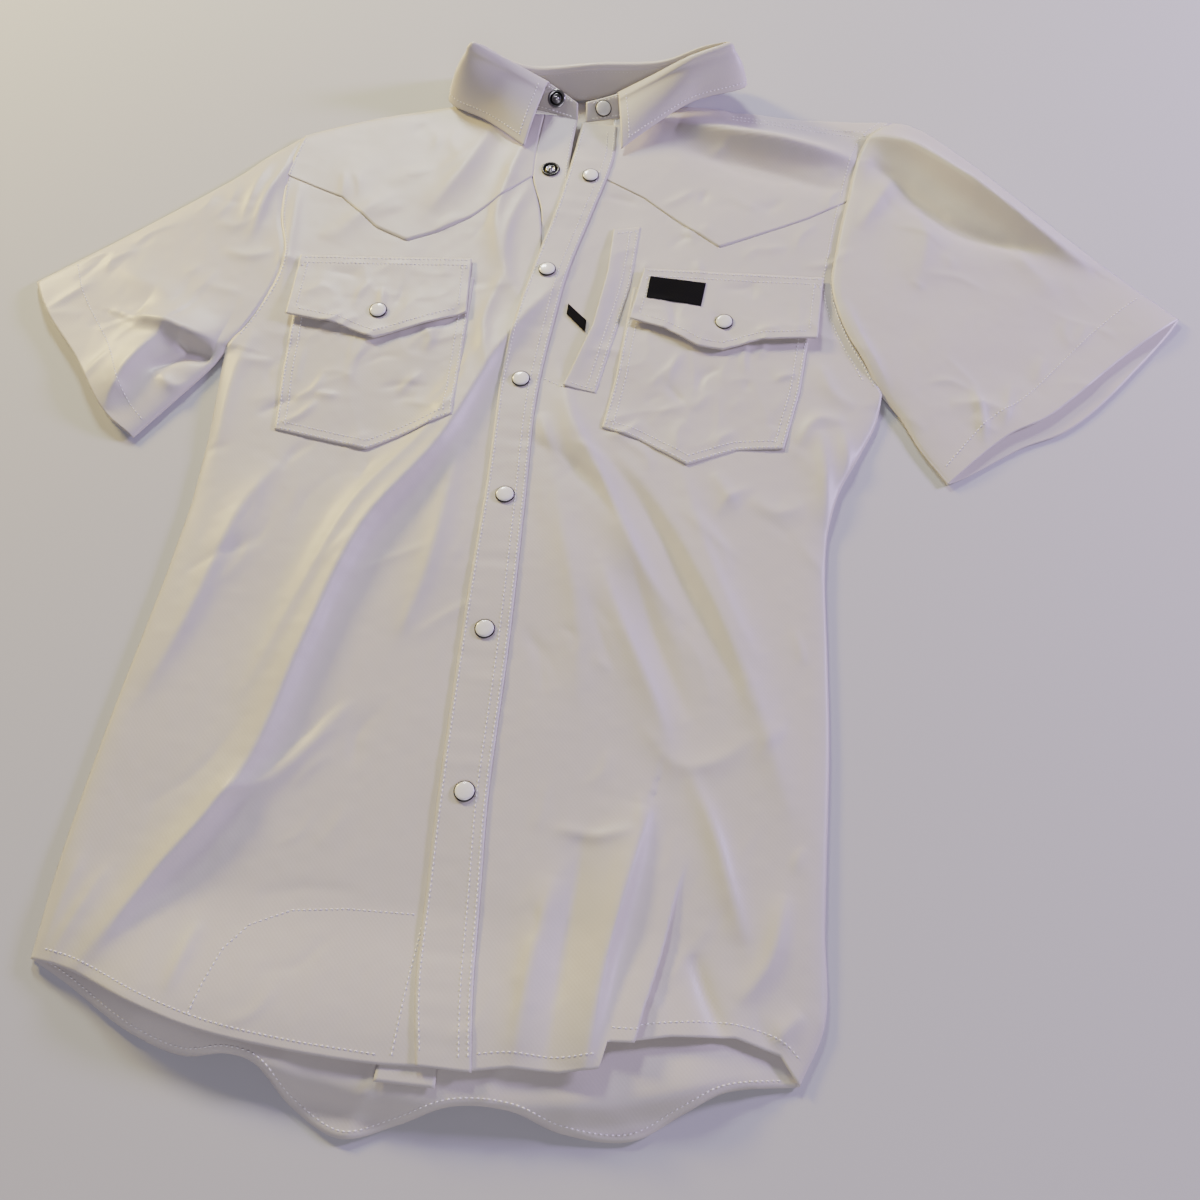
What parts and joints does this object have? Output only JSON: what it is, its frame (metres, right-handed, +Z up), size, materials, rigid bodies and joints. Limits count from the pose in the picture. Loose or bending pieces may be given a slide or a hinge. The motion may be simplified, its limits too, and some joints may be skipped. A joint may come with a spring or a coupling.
{
  "type": "short sleeve snap-front shirt",
  "caption": "Short sleeve snap-front shirt laid flat on its back, with pointed yokes, a turned-up collar, flapped chest pockets, a pen slot and a curved tail.",
  "frame": {"origin": "centre of the shirt's bounding box, on the surface it lies on", "axes": "+Z up from the surface, +Y from the hem to the collar, +X to the wearer's left"},
  "size_m": [0.79, 0.768, 0.0487],
  "materials": {
    "shirting": "smooth light grey-beige plain weave with a faint sheen",
    "pearl": "glossy pearl",
    "rim": "dark oxidised metal",
    "socket": "plain nickel",
    "label": "matt black woven tape"
  },
  "bodies": {
    "root": {"back": "shirting", "chest_socket": "socket", "collar_leaf": "shirting", "collar_socket": "socket", "collar_stand": "shirting", "flap_left_hand": "shirting", "flap_right_hand": "shirting", "flap_snap_1_pearl": "pearl", "flap_snap_1_rim": "rim", "flap_snap_2_pearl": "pearl", "flap_snap_2_rim": "rim", "front_left_hand": "shirting", "front_right_hand": "shirting", "label": "label", "placket": "shirting", "pocket_left_hand": "shirting", "pocket_right_hand": "shirting", "sleeve_left_hand": "shirting", "sleeve_right_hand": "shirting", "snap_1_pearl": "pearl", "snap_1_rim": "rim", "snap_2_pearl": "pearl", "snap_2_rim": "rim", "snap_3_pearl": "pearl", "snap_3_rim": "rim", "snap_4_pearl": "pearl", "snap_4_rim": "rim", "snap_5_pearl": "pearl", "snap_5_rim": "rim", "snap_6_pearl": "pearl", "snap_6_rim": "rim", "snap_7_pearl": "pearl", "snap_7_rim": "rim", "under_placket": "shirting", "yoke_left_hand": "shirting", "yoke_right_hand": "shirting", "zip_strip": "shirting", "zip_tab": "label"}
  },
  "joints": []
}
